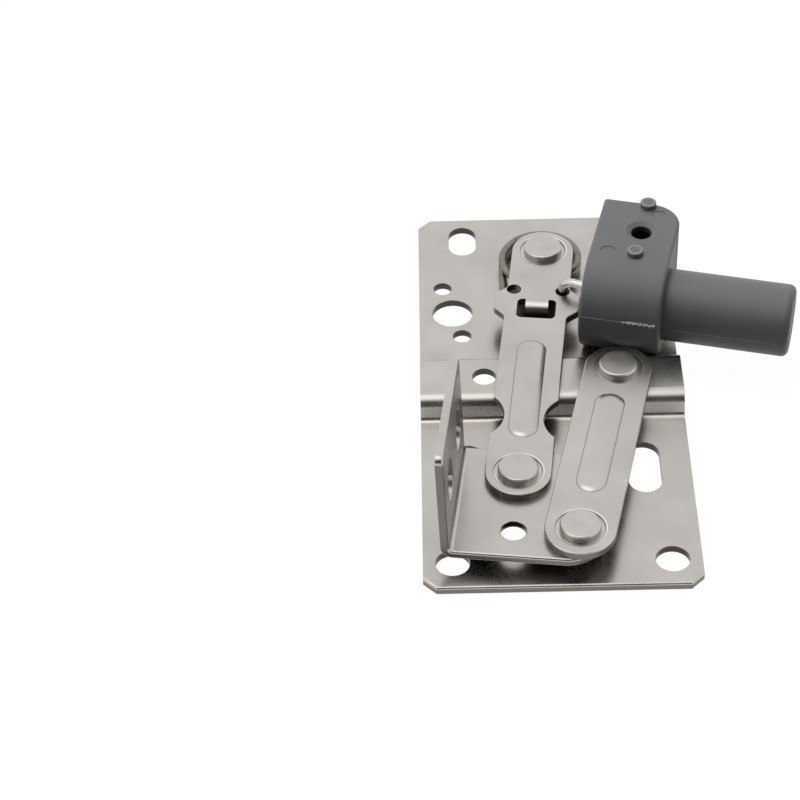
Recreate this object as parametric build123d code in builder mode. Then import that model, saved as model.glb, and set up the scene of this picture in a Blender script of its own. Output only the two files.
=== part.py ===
from build123d import *
import os
from math import cos, pi, radians, sin, sqrt, tan

# Drop-down flap hinge, right-hand, for a cabinet side panel. Millimetres.
# Origin: middle of the base plate on its mounting face. +Z points away from the panel,
# +Y up the cabinet, +X into it. The flap opens towards -X, and is shown shut.

# Sheet metal
sheet = 1.6
edge_round = 0.25
rolled_edge = 0.5  # top edges of the plate and the bracket, rolled over by the shears
clear = 0.05  # running gap between faces that slide on each other
bore_clear = 0.05  # radial running gap of the pivots

# Base plate
plate_width = 52.5
plate_length = 110.0
corner_cut = 2.5
near_hole_d = 6.5
near_hole_x = 20.63
near_hole_inset = 6.42  # from the near edge
far_slot_width = 5.8
far_slot_length = 9.4
far_slot_x = 16.82
far_slot_inset = 7.58  # from the far edge
side_slot_width = 6.5
side_slot_length = 14.0
side_slot_x = 17.1
side_slot_y = -23.7
access_hole_d = 7.0
access_hole_x = -9.1
access_hole_y = -40.4

# Raised band across the base plate, which carries the outer arm
band_rise = 4.5
band_centre_y = -1.4
band_crown = 12.2  # between the sharp top corners
band_foot = 15.8  # between the sharp foot corners
band_bend = 2.0  # bend radius at mid sheet

# Pivots: the arms are given by where they are fixed, their length and their lean
outer_pivot_x = 13.4
inner_pivot_y = 36.1
outer_arm_length = 45.8
outer_arm_lean = 12.7
inner_arm_length = 67.1
inner_arm_lean = 6.6
pivot_d = 4.8
rivet_head_d = 7.8
rivet_head_height = 1.4
rivet_head_round = 0.45
rivet_tail_d = 7.0
rivet_tail_height = 0.9
coin_d = 9.4
coin_depth = 0.15
spacer_d = 9.0

# Outer arm
outer_arm_width = 13.5
outer_bead_start = 8.0
outer_bead_length = 28.0
bead_width = 5.8
bead_height = 0.45  # pressed up from below
bead_draft = 60.0  # of its walls, from the upright
bead_round = 2.4

# Inner arm
inner_arm_width = 12.8
ear_width = 17.6
ear_start = 12.3
ear_full_start = 14.5
ear_full_end = 19.0
ear_end = 21.3
ear_round = 1.6
ear_hole_d = 3.0
ear_hole_along = 13.1
ear_hole_off = 5.04
window_start = 16.0
window_length = 5.9
window_width = 8.0
window_round = 1.1
tab_width = 4.7
tab_depth = 3.4
tab_reach = 2.5  # from the window's edge to the outer face of the tab
tab_bend = 1.6  # bend radius at mid sheet
inner_bead_start = 29.0
inner_bead_length = 28.5
open_spread = 35.4  # angle between inner arm and bracket link when the flap is fully open
notch_gap = 0.35
notch_round = 2.0

# Flap bracket
bracket_lean = 7.2
bracket_near = 7.0
bracket_right = 4.6  # past the outer pivot
bracket_corner = 7.0
bracket_far = 21.6
flange_reach = 23.9  # from the outer pivot to the inner face of the flange
flange_height = 29.5  # above the mounting face of the base plate
flange_lean = 2.0  # how far the bend stops short of square
flange_bend = 0.8
flange_corner = 1.6
bracket_hole_d = 4.9
bracket_hole_x = -12.5
bracket_hole_y = -0.3
flange_slot_width = 6.0
flange_slot_length = 9.5
flange_slot_y = 0.8
flange_slot_pitch = 13.5
flange_slot_z = 17.5

# Torsion spring round the upper pivot
spring_wire = 1.3
spring_radius = 8.1
spring_shift_x = -0.5  # the coil hangs a little off its bush
spring_shift_y = 1.4
spring_pitch = 1.78
spring_rest = 180.0  # where the base leg leaves the coil
spring_end = -43.0  # where the arm leg leaves the coil, one turn further on
base_leg_length = 11.0
base_leg_bend = 1.5
leg_foot_height = 0.3
arm_leg_length = 8.0
leg_hole_gap = 0.45

# Damper housing, placed by its screw hole, with its length along the damper
housing_x = 19.3
housing_y = 23.62
housing_turn = -14.0
housing_left = 9.2
housing_right = 7.2
housing_far = 9.3
housing_height = 20.9
housing_corner = 6.0
housing_edge = 0.7
sleeve_off = 9.5  # from the screw hole to the sleeve axis
sleeve_d = 14.6
sleeve_reach = 32.6
sleeve_round = 1.4
housing_bore_d = 11.4
sleeve_end_wall = 1.7
screw_hole_d = 4.2
screw_sink_d = 6.2
screw_sink_depth = 0.6
base_clear_d = 8.4
peg_d = 3.3
peg_height = 1.1
peg_edge = 0.25
peg_far = 8.2
peg_near = 7.6
peg_hole_d = 3.8
peg_root = 1.0  # how far the pegs run into the block
pin_mark_d = 3.2  # shallow marks of the mould's ejector pins
pin_mark_depth = 0.15
pin_mark_places = ((2.66, 5.57), (-5.5, -7.8))  # along and across the damper
plug_length = 1.8
plug_hole_d = 4.7

# Damper cartridge inside the housing
cylinder_start = 8.6
cylinder_wall = 0.9
cylinder_end_wall = 1.2
guide_length = 3.2
piston_length = 3.4
piston_end_gap = 0.5
rod_d = 2.0
seal_wire = 1.1
seal_squeeze = 0.03
rod_end_length = 3.6
rod_end_gap = 0.4
rod_end_d = 10.8
rod_grip = 1.4
pocket_d = 3.9
pocket_shift = 0.55  # from the wire towards the middle of the rod end
pocket_depth = 2.2

# Hook wire between the inner arm and the rod end
hook_wire_d = 1.8
hook_height = 10.8
hook_off = 3.4  # beside the damper axis
hook_bend = 2.4
hook_tail = 1.1
hook_end_gap = 0.5

# Derived heights
band_top = sheet + band_rise
arm_bottom = band_top + clear
arm_top = arm_bottom + sheet
bead_inset = sheet * tan(radians((90 - bead_draft) / 2))  # of its hollow, below
bracket_bottom = band_top - sheet
head_bottom = arm_top - coin_depth + clear
housing_bottom = sheet
housing_mid = housing_bottom + housing_height / 2
housing_top = housing_bottom + housing_height

# Derived places
outer_pivot = Vector(outer_pivot_x, band_centre_y)
inner_pivot = Vector(0, inner_pivot_y)
outer_direction = Vector(-sin(radians(outer_arm_lean)), -cos(radians(outer_arm_lean)))
inner_direction = Vector(-sin(radians(inner_arm_lean)), -cos(radians(inner_arm_lean)))
link_outer = outer_pivot + outer_direction * outer_arm_length
link_inner = inner_pivot + inner_direction * inner_arm_length
link_length = (link_inner - link_outer).length
notch_along = inner_arm_length - link_length * cos(radians(open_spread))
notch_off = link_length * sin(radians(open_spread))
notch_radius = outer_arm_width / 2 + notch_gap

housing_turn_rad = radians(housing_turn)
along_damper = Vector(cos(housing_turn_rad), sin(housing_turn_rad), 0)
across_damper = Vector(-sin(housing_turn_rad), cos(housing_turn_rad), 0)
housing_origin = Vector(housing_x, housing_y, housing_mid)
spring_centre = inner_pivot + Vector(spring_shift_x, spring_shift_y)
spring_leg_base = spring_centre - Vector(spring_radius, base_leg_length)
pocket_off = hook_off - pocket_shift
aligned = 0.99  # cosine above which two directions count as one


def arm_plane(start, direction, height):
    """Plane at a pivot, with X along the arm."""
    return Plane(origin=(start.X, start.Y, height), x_dir=(direction.X, direction.Y, 0), z_dir=(0, 0, 1))


def damper_plane(distance, off=0.0):
    """Plane square to the damper, X across it and Y up, at a distance from the screw hole."""
    origin = housing_origin + along_damper * distance + across_damper * off
    return Plane(origin=origin, x_dir=across_damper, z_dir=along_damper)


def axis_plane(distance):
    """The damper plane centred on the sleeve axis."""
    return damper_plane(distance, -sleeve_off)


def housing_plane(height):
    """Level plane at the screw hole, with X along the damper."""
    return Plane(origin=(housing_x, housing_y, height), x_dir=along_damper, z_dir=(0, 0, 1))


def housing_point(along, across):
    """A point of the housing seen from above."""
    return Vector(housing_x, housing_y) + along_damper * along + across_damper * across


peg_points = [housing_point(0, peg_far), housing_point(0, -peg_near)]


def save(piece, label):
    """Label a finished piece and write its STEP file."""
    piece.part.label = label
    export_step(piece.part, f"parts/{label}.step")
    print(f"{label}: {len(piece.part.solids())} solid(s), {piece.part.volume:.1f} mm3")


os.makedirs("parts", exist_ok=True)


def press_bead(pivot, direction, start, length):
    """Press a bead up out of the arm that is being built, which leaves a hollow below it."""
    middle = start + length / 2
    with BuildSketch(arm_plane(pivot, direction, arm_top)) as outline:
        with Locations((middle, 0)):
            SlotOverall(length, bead_width)
    extrude(outline.sketch, amount=bead_height, taper=bead_draft)
    fillet(faces().sort_by(Axis.Z)[-1].outer_wire().edges(), bead_round)
    with BuildSketch(arm_plane(pivot, direction, arm_bottom)) as hollow:
        with Locations((middle, 0)):
            SlotOverall(length - 2 * bead_inset, bead_width - 2 * bead_inset)
    extrude(hollow.sketch, amount=bead_height, taper=bead_draft, mode=Mode.SUBTRACT)


# Base plate: a blank with a raised band folded across it
half_length = plate_length / 2
crown_half = band_crown / 2
foot_half = band_foot / 2
mid_low = sheet / 2
mid_high = band_top - sheet / 2
wall_shift = sheet / 2 * (1 - (foot_half - crown_half) / band_rise)
with BuildPart() as base_plate:
    with BuildSketch(Plane.YZ.offset(-plate_width / 2)):
        with BuildLine():
            mid_line = FilletPolyline(
                (-half_length, mid_low),
                (band_centre_y - foot_half + wall_shift, mid_low),
                (band_centre_y - crown_half + wall_shift, mid_high),
                (band_centre_y + crown_half - wall_shift, mid_high),
                (band_centre_y + foot_half - wall_shift, mid_low),
                (half_length, mid_low),
                radius=band_bend,
            )
            offset(mid_line, amount=sheet / 2, side=Side.BOTH)
        make_face()
    extrude(amount=plate_width)
    with BuildSketch() as outline:
        Rectangle(plate_width, plate_length)
        chamfer(outline.vertices(), corner_cut)
    extrude(amount=2 * band_top, mode=Mode.INTERSECT)
    with BuildSketch():
        for side in (-1, 1):
            with Locations((side * near_hole_x, near_hole_inset - plate_length / 2)):
                Circle(near_hole_d / 2)
            with Locations((side * far_slot_x, plate_length / 2 - far_slot_inset)):
                SlotOverall(far_slot_length, far_slot_width, rotation=90)
            with Locations((side * side_slot_x, side_slot_y)):
                SlotOverall(side_slot_length, side_slot_width, rotation=90)
            with Locations((side * outer_pivot_x, band_centre_y)):
                Circle(pivot_d / 2)
            with Locations((side * housing_x, housing_y)):
                Circle(base_clear_d / 2)
            for peg in peg_points:
                with Locations((side * peg.X, peg.Y)):
                    Circle(peg_hole_d / 2)
        with Locations((access_hole_x, access_hole_y)):
            Circle(access_hole_d / 2)
        with Locations((0, inner_pivot_y)):
            Circle(pivot_d / 2)
        with Locations(spring_leg_base):
            Circle(spring_wire / 2 + leg_hole_gap)
    extrude(amount=2 * band_top, mode=Mode.SUBTRACT)
    sink_depth = (rivet_tail_d - pivot_d) / 2
    with Locations((0, inner_pivot_y, sink_depth / 2)):
        Cone(rivet_tail_d / 2, pivot_d / 2, sink_depth, mode=Mode.SUBTRACT)
    end_edges = base_plate.edges().filter_by(
        lambda edge: abs(edge.center().Z - sheet) < clear and abs(edge.center().Y) > half_length - corner_cut)
    fillet(end_edges, rolled_edge)
save(base_plate, "base_plate")


# Outer arm, on top of the band
with BuildPart() as outer_arm:
    with BuildSketch(arm_plane(outer_pivot, outer_direction, arm_bottom)):
        with Locations((outer_arm_length / 2, 0)):
            SlotCenterToCenter(outer_arm_length, outer_arm_width)
    extrude(amount=sheet)
    fillet(outer_arm.faces().sort_by(Axis.Z)[-1].outer_wire().edges(), edge_round)
    with BuildSketch(arm_plane(outer_pivot, outer_direction, arm_bottom)):
        with Locations((0, 0), (outer_arm_length, 0)):
            Circle(pivot_d / 2 + bore_clear)
    extrude(amount=sheet, mode=Mode.SUBTRACT)
    with BuildSketch(arm_plane(outer_pivot, outer_direction, arm_top)):
        with Locations((0, 0), (outer_arm_length, 0)):
            Circle(coin_d / 2)
    extrude(amount=-coin_depth, mode=Mode.SUBTRACT)
    press_bead(outer_pivot, outer_direction, outer_bead_start, outer_bead_length)
save(outer_arm, "outer_arm")


# Inner arm: ears for the hook wire, a window with its tab bent down, and a waist that
# takes the end of the outer arm when the flap is open
with BuildPart() as inner_arm:
    with BuildSketch(arm_plane(inner_pivot, inner_direction, arm_bottom)) as profile:
        with Locations((inner_arm_length / 2, 0)):
            SlotCenterToCenter(inner_arm_length, inner_arm_width)
        with BuildLine():
            Polyline(
                (ear_start, inner_arm_width / 2),
                (ear_full_start, ear_width / 2),
                (ear_full_end, ear_width / 2),
                (ear_end, inner_arm_width / 2),
                (ear_end, -inner_arm_width / 2),
                (ear_full_end, -ear_width / 2),
                (ear_full_start, -ear_width / 2),
                (ear_start, -inner_arm_width / 2),
                close=True,
            )
        make_face()
        with Locations((notch_along, notch_off), (notch_along, -notch_off)):
            Circle(notch_radius, mode=Mode.SUBTRACT)
        local = {v: profile.workplanes[0].to_local_coords(v).X for v in profile.vertices()}
        ears = [v for v, x in local.items() if ear_start - ear_round < x < ear_end + ear_round]
        waist = [v for v, x in local.items() if ear_end + ear_round < x < inner_arm_length - notch_round]
        fillet(ears, ear_round)
        fillet(waist, notch_round)
    extrude(amount=sheet)
    fillet(inner_arm.faces().sort_by(Axis.Z)[-1].outer_wire().edges(), edge_round)
    with BuildSketch(arm_plane(inner_pivot, inner_direction, arm_bottom)) as cuts:
        with Locations((0, 0), (inner_arm_length, 0)):
            Circle(pivot_d / 2 + bore_clear)
        with Locations((ear_hole_along, ear_hole_off), (ear_hole_along, -ear_hole_off)):
            Circle(ear_hole_d / 2)
        with Locations((window_start + window_length / 2, 0)):
            RectangleRounded(window_length, window_width, window_round)
    extrude(amount=sheet, mode=Mode.SUBTRACT)
    with BuildSketch(arm_plane(inner_pivot, inner_direction, arm_top)):
        with Locations((0, 0), (inner_arm_length, 0)):
            Circle(coin_d / 2)
    extrude(amount=-coin_depth, mode=Mode.SUBTRACT)
    press_bead(inner_pivot, inner_direction, inner_bead_start, inner_bead_length)
    tab_frame = arm_plane(inner_pivot, inner_direction, arm_top)
    tab_side = Plane(
        origin=tab_frame.from_local_coords(Vector(window_start, -tab_width / 2, 0)),
        x_dir=tab_frame.x_dir,
        z_dir=tab_frame.y_dir,
    )
    with BuildSketch(tab_side):
        with BuildLine():
            tab_fold = FilletPolyline(
                (-sheet, sheet / 2),
                (tab_reach - sheet / 2, sheet / 2),
                (tab_reach - sheet / 2, sheet + tab_depth),
                radius=tab_bend,
            )
            offset(tab_fold, amount=sheet / 2, side=Side.BOTH)
        make_face()
    extrude(amount=tab_width)
save(inner_arm, "inner_arm")


# Flap bracket: a plate under both arms with a flange bent up for the flap
bracket_direction = Vector(cos(radians(bracket_lean)), -sin(radians(bracket_lean)))
bracket_frame = arm_plane(link_outer, bracket_direction, bracket_bottom)
link_local = bracket_frame.to_local_coords(Vector(link_inner.X, link_inner.Y, bracket_bottom))
bracket_length = bracket_near + bracket_far
flange_rise = flange_height - bracket_bottom + sheet
flange_outer = flange_reach + sheet + flange_rise * tan(radians(flange_lean))
bracket_side = Plane(
    origin=bracket_frame.from_local_coords(Vector(0, -bracket_near, 0)),
    x_dir=-bracket_frame.x_dir,
    z_dir=bracket_frame.y_dir,
)
flange_side = Plane(
    origin=bracket_frame.from_local_coords(Vector(-flange_outer, 0, -bracket_bottom)),
    x_dir=bracket_frame.y_dir,
    z_dir=bracket_frame.x_dir,
)
with BuildPart() as flap_bracket:
    with BuildSketch(bracket_side):
        with BuildLine():
            fold = FilletPolyline(
                (-bracket_right, sheet / 2),
                (flange_reach + sheet / 2, sheet / 2),
                (flange_reach + sheet / 2 + flange_rise * tan(radians(flange_lean)), flange_rise),
                radius=flange_bend + sheet / 2,
            )
            offset(fold, amount=sheet / 2, side=Side.BOTH)
        make_face()
    extrude(amount=bracket_length)
    with BuildSketch(bracket_frame) as plan:
        with Locations((-flange_outer, -bracket_near)):
            Rectangle(flange_outer + bracket_right, bracket_length, align=(Align.MIN, Align.MIN))
        inner_corners = [
            plan.vertices().sort_by_distance(bracket_frame.from_local_coords(Vector(bracket_right, y, 0)))[0]
            for y in (-bracket_near, bracket_far)
        ]
        fillet(inner_corners, bracket_corner)
    extrude(amount=flange_rise, mode=Mode.INTERSECT)
    with BuildSketch(flange_side) as flange_outline:
        with Locations((-bracket_near, 0)):
            Rectangle(bracket_length, flange_height, align=(Align.MIN, Align.MIN))
        fillet(flange_outline.vertices().group_by(Axis.Z)[-1], flange_corner)
    extrude(amount=flange_outer + bracket_right, mode=Mode.INTERSECT)
    with BuildSketch(bracket_frame):
        with Locations((0, 0), (link_local.X, link_local.Y)):
            Circle(pivot_d / 2)
        with Locations((bracket_hole_x, bracket_hole_y)):
            Circle(bracket_hole_d / 2)
    extrude(amount=sheet, mode=Mode.SUBTRACT)
    with BuildSketch(flange_side):
        with Locations((flange_slot_y, flange_slot_z), (flange_slot_y + flange_slot_pitch, flange_slot_z)):
            SlotOverall(flange_slot_length, flange_slot_width, rotation=90)
    extrude(amount=flange_outer - flange_reach, mode=Mode.SUBTRACT)
    top_lines = flap_bracket.faces().filter_by(Axis.Z).group_by(Axis.Z)[1].edges().filter_by(GeomType.LINE)
    fillet(top_lines.sort_by(Axis.Y)[0], rolled_edge)
save(flap_bracket, "flap_bracket")


def post(place, radius, bottom, top):
    """An upright cylinder at a place seen from above, from one height to another."""
    with Locations((place.X, place.Y, bottom)):
        Cylinder(radius, top - bottom, align=(Align.CENTER, Align.CENTER, Align.MIN))


def head_edges(piece):
    """The top rim of a rivet head."""
    return piece.edges().filter_by(GeomType.CIRCLE).group_by(Axis.Z)[-1]


# Rivets: shanks fast in the lower sheet, arms turning on them
head_top = head_bottom + rivet_head_height
tail_bottom = bracket_bottom - rivet_tail_height
for label, place in (("outer_arm_rivet", outer_pivot), ("bracket_rivet", link_outer)):
    with BuildPart() as band_rivet:
        post(place, rivet_tail_d / 2, tail_bottom, bracket_bottom)
        post(place, pivot_d / 2, tail_bottom, head_bottom)
        post(place, rivet_head_d / 2, head_bottom, head_top)
        fillet(head_edges(band_rivet), rivet_head_round)
    save(band_rivet, label)

with BuildPart() as inner_arm_rivet:
    with Locations((inner_pivot.X, inner_pivot.Y, sink_depth / 2)):
        Cone(rivet_tail_d / 2, pivot_d / 2, sink_depth)
    post(inner_pivot, pivot_d / 2, 0, head_bottom)
    post(inner_pivot, rivet_head_d / 2, head_bottom, head_top)
    fillet(head_edges(inner_arm_rivet), rivet_head_round)
save(inner_arm_rivet, "inner_arm_rivet")

# The fourth rivet is split where the inner arm meets the bracket
with BuildPart() as link_rivet_head:
    post(link_inner, pivot_d / 2 + bore_clear, arm_bottom, arm_top - coin_depth)
    post(link_inner, rivet_head_d / 2, arm_top - coin_depth, head_top)
    fillet(head_edges(link_rivet_head), rivet_head_round)
save(link_rivet_head, "link_rivet_head")

with BuildPart() as link_rivet_tail:
    post(link_inner, rivet_tail_d / 2, tail_bottom, bracket_bottom)
    post(link_inner, pivot_d / 2, tail_bottom, band_top)
save(link_rivet_tail, "link_rivet_tail")

# Spacer bush that lifts the inner arm off the base plate
with BuildPart() as spacer_bush:
    with BuildSketch(Plane.XY.offset(sheet)):
        with Locations(inner_pivot):
            Circle(spacer_d / 2)
            Circle(pivot_d / 2, mode=Mode.SUBTRACT)
    extrude(amount=band_rise)
save(spacer_bush, "spacer_bush")


def biarc_joint(start, start_dir, end, end_dir):
    """Point where two tangent arcs meet between two points with given directions."""
    span = end - start
    both = start_dir + end_dir
    square = both.dot(both) - 4
    middle = span.dot(both)
    reach = (middle - sqrt(middle * middle - square * span.dot(span))) / square
    return (start + end + (start_dir - end_dir) * reach) * 0.5, reach


def coil_point(angle, turned):
    """Point and direction on the spring's centre line, clockwise seen from above."""
    rise = spring_pitch / (2 * pi * spring_radius)
    place = Vector(
        spring_centre.X + spring_radius * cos(angle),
        spring_centre.Y + spring_radius * sin(angle),
        sheet + clear + spring_wire / 2 + spring_pitch * turned / (2 * pi),
    )
    return place, Vector(sin(angle), -cos(angle), rise).normalized()


# Torsion spring: a base leg, one full turn and most of a second, and an arm leg
coil_sweep = 2 * pi + radians(spring_rest - spring_end)
quarter_count = round(coil_sweep / (pi / 2))
quarter = coil_sweep / quarter_count
coil_stations = [
    coil_point(radians(spring_rest) - i * quarter, i * quarter)
    for i in range(quarter_count + 1)
]
coil_start, coil_start_dir = coil_stations[0]
coil_end, coil_end_dir = coil_stations[-1]
leg_far = coil_start - Vector(0, base_leg_length - base_leg_bend, 0)
leg_turn = leg_far - Vector(0, base_leg_bend, base_leg_bend)
leg_foot = Vector(leg_turn.X, leg_turn.Y, leg_foot_height)
with BuildPart() as torsion_spring:
    with BuildLine() as spring_line:
        Line(leg_foot, leg_turn)
        TangentArc(leg_turn, leg_far, tangent=(0, 0, 1))
        Line(leg_far, coil_start)
        for (here, here_dir), (there, there_dir) in zip(coil_stations, coil_stations[1:]):
            meet, reach = biarc_joint(here, here_dir, there, there_dir)
            TangentArc(here, meet, tangent=here_dir)
            TangentArc(meet, there, tangent=(there - there_dir * reach - meet))
        Line(coil_end, coil_end + coil_end_dir * arm_leg_length)
    with BuildSketch(Plane(origin=spring_line.line @ 0, z_dir=spring_line.line % 0)):
        Circle(spring_wire / 2)
    sweep(path=spring_line.wire())
save(torsion_spring, "torsion_spring")

# Its least gap to itself, measured between points along the wire at least half a turn apart
wire_steps = 400
wire_path = spring_line.wire()
wire_points = [wire_path @ (i / wire_steps) for i in range(wire_steps + 1)]
half_turn = round(pi * spring_radius / wire_path.length * wire_steps)
nearest = min(
    (there - here).length
    for i, here in enumerate(wire_points)
    for there in wire_points[i + half_turn:]
)
print(f"torsion_spring: least gap to itself {nearest - spring_wire:.2f} mm")


def is_seam(edge):
    """Whether an upright edge only marks where the rounded far corner starts."""
    place = edge @ 0.5 - housing_origin
    upright_edge = abs((edge % 0.5).Z) > aligned
    on_left = place.dot(along_damper) < -housing_left + clear
    return upright_edge and not on_left and place.dot(across_damper) > 0


# Damper housing: one grey moulding, pinned to the base plate by its lower pegs
round_radius = housing_height / 2
with BuildPart() as damper_housing:
    with BuildSketch(damper_plane(-housing_left)):
        with Locations(((housing_far - sleeve_off) / 2, 0)):
            Rectangle(housing_far + sleeve_off, housing_height)
        with Locations((-sleeve_off, 0)):
            Circle(round_radius)
    extrude(amount=housing_left + housing_right)
    upright = damper_housing.edges().filter_by(Axis.Z)
    far_right = housing_point(housing_right, housing_far)
    corner = upright.sort_by_distance(Vector(far_right.X, far_right.Y, housing_mid))[0]
    fillet(corner, housing_corner)
    end_faces = damper_housing.faces().filter_by(
        lambda face: face.geom_type == GeomType.PLANE and abs(face.normal_at().dot(along_damper)) > aligned)
    corner_arcs = damper_housing.edges().filter_by(GeomType.CIRCLE).filter_by(
        lambda edge: abs(edge.radius - housing_corner) < clear)
    far_lines = damper_housing.faces().filter_by(
        lambda face: face.geom_type == GeomType.PLANE and face.normal_at().dot(across_damper) > aligned).edges()
    rims = set(end_faces.edges()) | set(corner_arcs) | set(far_lines)
    fillet([edge for edge in rims if not is_seam(edge)], housing_edge)
    with BuildSketch(axis_plane(0)):
        Circle(sleeve_d / 2)
    extrude(amount=sleeve_reach)
    sleeve_tip = damper_housing.edges().filter_by(GeomType.CIRCLE).sort_by_distance(
        axis_plane(sleeve_reach).origin)
    fillet(sleeve_tip[0], sleeve_round)
    with BuildSketch(axis_plane(-housing_left)):
        Circle(housing_bore_d / 2)
    extrude(amount=housing_left + sleeve_reach - sleeve_end_wall, mode=Mode.SUBTRACT)
    with BuildSketch(housing_plane(housing_top - peg_root)):
        with Locations((0, peg_far), (0, -peg_near)):
            Circle(peg_d / 2)
    extrude(amount=peg_root + peg_height)
    fillet(damper_housing.edges().filter_by(GeomType.CIRCLE).group_by(Axis.Z)[-1], peg_edge)
    with BuildSketch(housing_plane(0)):
        with Locations((0, peg_far), (0, -peg_near)):
            Circle(peg_hole_d / 2)
    extrude(amount=housing_bottom + peg_root)
    with BuildSketch(housing_plane(housing_bottom)):
        Circle(screw_hole_d / 2)
    extrude(amount=housing_height, mode=Mode.SUBTRACT)
    with Locations((housing_x, housing_y, housing_top - screw_sink_depth / 2)):
        Cone(screw_hole_d / 2, screw_sink_d / 2, screw_sink_depth, mode=Mode.SUBTRACT)
    with BuildSketch(housing_plane(housing_top)):
        with Locations(*pin_mark_places):
            Circle(pin_mark_d / 2)
    extrude(amount=-pin_mark_depth, mode=Mode.SUBTRACT)
save(damper_housing, "damper_housing")


def ring(radius, wire, distance):
    """A seal ring round the damper axis."""
    seat = axis_plane(distance)
    with Locations(Location(seat)):
        Torus(radius - wire / 2, wire / 2)


# Plug that closes the left end of the housing bore, with room for the hook wire
with BuildPart() as housing_plug:
    with BuildSketch(axis_plane(-housing_left)):
        Circle(housing_bore_d / 2)
        with Locations((pocket_off, hook_height - housing_mid)):
            Circle(plug_hole_d / 2, mode=Mode.SUBTRACT)
    extrude(amount=plug_length)
save(housing_plug, "housing_plug")

# Damper cylinder, closed at its far end
cylinder_end = sleeve_reach - sleeve_end_wall
cylinder_inner = housing_bore_d / 2 - cylinder_wall
cylinder_floor = cylinder_end - cylinder_end_wall
with BuildPart() as damper_cylinder:
    with BuildSketch(axis_plane(cylinder_start)):
        Circle(housing_bore_d / 2)
    extrude(amount=cylinder_end - cylinder_start)
    with BuildSketch(axis_plane(cylinder_start)):
        Circle(cylinder_inner)
    extrude(amount=cylinder_floor - cylinder_start, mode=Mode.SUBTRACT)
save(damper_cylinder, "damper_cylinder")

# Rod guide in the mouth of the cylinder, with its seal
guide_seal_at = cylinder_start + guide_length / 2
with BuildPart() as rod_guide:
    with BuildSketch(axis_plane(cylinder_start)):
        Circle(cylinder_inner)
        Circle(rod_d / 2 + bore_clear, mode=Mode.SUBTRACT)
    extrude(amount=guide_length)
    with BuildSketch(axis_plane(guide_seal_at - seal_wire / 2)):
        Circle(rod_d / 2 + seal_squeeze + seal_wire)
    extrude(amount=seal_wire, mode=Mode.SUBTRACT)
save(rod_guide, "rod_guide")

with BuildPart() as rod_seal:
    ring(rod_d / 2 + seal_squeeze + seal_wire, seal_wire, guide_seal_at)
save(rod_seal, "rod_seal")

# Piston with its seal, at the far end of the cylinder
piston_end = cylinder_floor - piston_end_gap
piston_start = piston_end - piston_length
piston_seal_at = (piston_start + piston_end) / 2
with BuildPart() as piston:
    with BuildSketch(axis_plane(piston_start)):
        Circle(cylinder_inner - bore_clear)
        Circle(rod_d / 2, mode=Mode.SUBTRACT)
    extrude(amount=piston_length)
    with BuildSketch(axis_plane(piston_seal_at - seal_wire / 2)):
        Circle(cylinder_inner)
        Circle(cylinder_inner - seal_squeeze - seal_wire, mode=Mode.SUBTRACT)
    extrude(amount=seal_wire, mode=Mode.SUBTRACT)
save(piston, "piston")

with BuildPart() as piston_seal:
    ring(cylinder_inner - seal_squeeze, seal_wire, piston_seal_at)
save(piston_seal, "piston_seal")

# Rod end in the front chamber, and the piston rod
rod_end_stop = cylinder_start - rod_end_gap
rod_end_start = rod_end_stop - rod_end_length
with BuildPart() as piston_rod:
    with BuildSketch(axis_plane(rod_end_stop - rod_grip)):
        Circle(rod_d / 2)
    extrude(amount=piston_end - rod_end_stop + rod_grip)
save(piston_rod, "piston_rod")

with BuildPart() as rod_end:
    with BuildSketch(axis_plane(rod_end_start)):
        Circle(rod_end_d / 2)
    extrude(amount=rod_end_length)
    with BuildSketch(axis_plane(rod_end_stop - rod_grip)):
        Circle(rod_d / 2)
    extrude(amount=rod_grip, mode=Mode.SUBTRACT)
    with BuildSketch(axis_plane(rod_end_start)):
        with Locations((pocket_off, hook_height - housing_mid)):
            Circle(pocket_d / 2)
    extrude(amount=pocket_depth, mode=Mode.SUBTRACT)
save(rod_end, "rod_end")

# Hook wire: down through the ear of the inner arm, and into the rod end
ear = inner_pivot + inner_direction * ear_hole_along - inner_direction.rotate(Axis.Z, -90) * ear_hole_off
ear_foot = Vector(ear.X, ear.Y, arm_bottom - hook_tail)
ear_bend = Vector(ear.X, ear.Y, hook_height)
wire_line_off = hook_off - sleeve_off
housing_gate = housing_point(-housing_left, wire_line_off)
wire_gate = Vector(housing_gate.X, housing_gate.Y, hook_height)
wire_stop_flat = housing_point(rod_end_start + pocket_depth - hook_end_gap, wire_line_off)
wire_stop = Vector(wire_stop_flat.X, wire_stop_flat.Y, hook_height)
with BuildPart() as hook_wire:
    with BuildLine() as hook_line:
        FilletPolyline(ear_foot, ear_bend, wire_gate, wire_stop, radius=hook_bend)
    with BuildSketch(Plane(origin=hook_line.line @ 0, z_dir=hook_line.line % 0)):
        Circle(hook_wire_d / 2)
    sweep(path=hook_line.wire())
save(hook_wire, "hook_wire")
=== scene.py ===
"""Looks of a drop-down flap hinge in pressed, nickel-plated steel with a moulded damper housing.

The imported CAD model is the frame. Its nodes stay where they are and get their finishes here;
the torsion spring gets a fuller coil, and the housing its mould marks.
"""

import logging
import math
import random
from dataclasses import dataclass
from enum import Enum
from typing import Any, Callable, Iterable, Sequence

import bmesh
import bpy
from mathutils import Matrix, Vector


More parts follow.
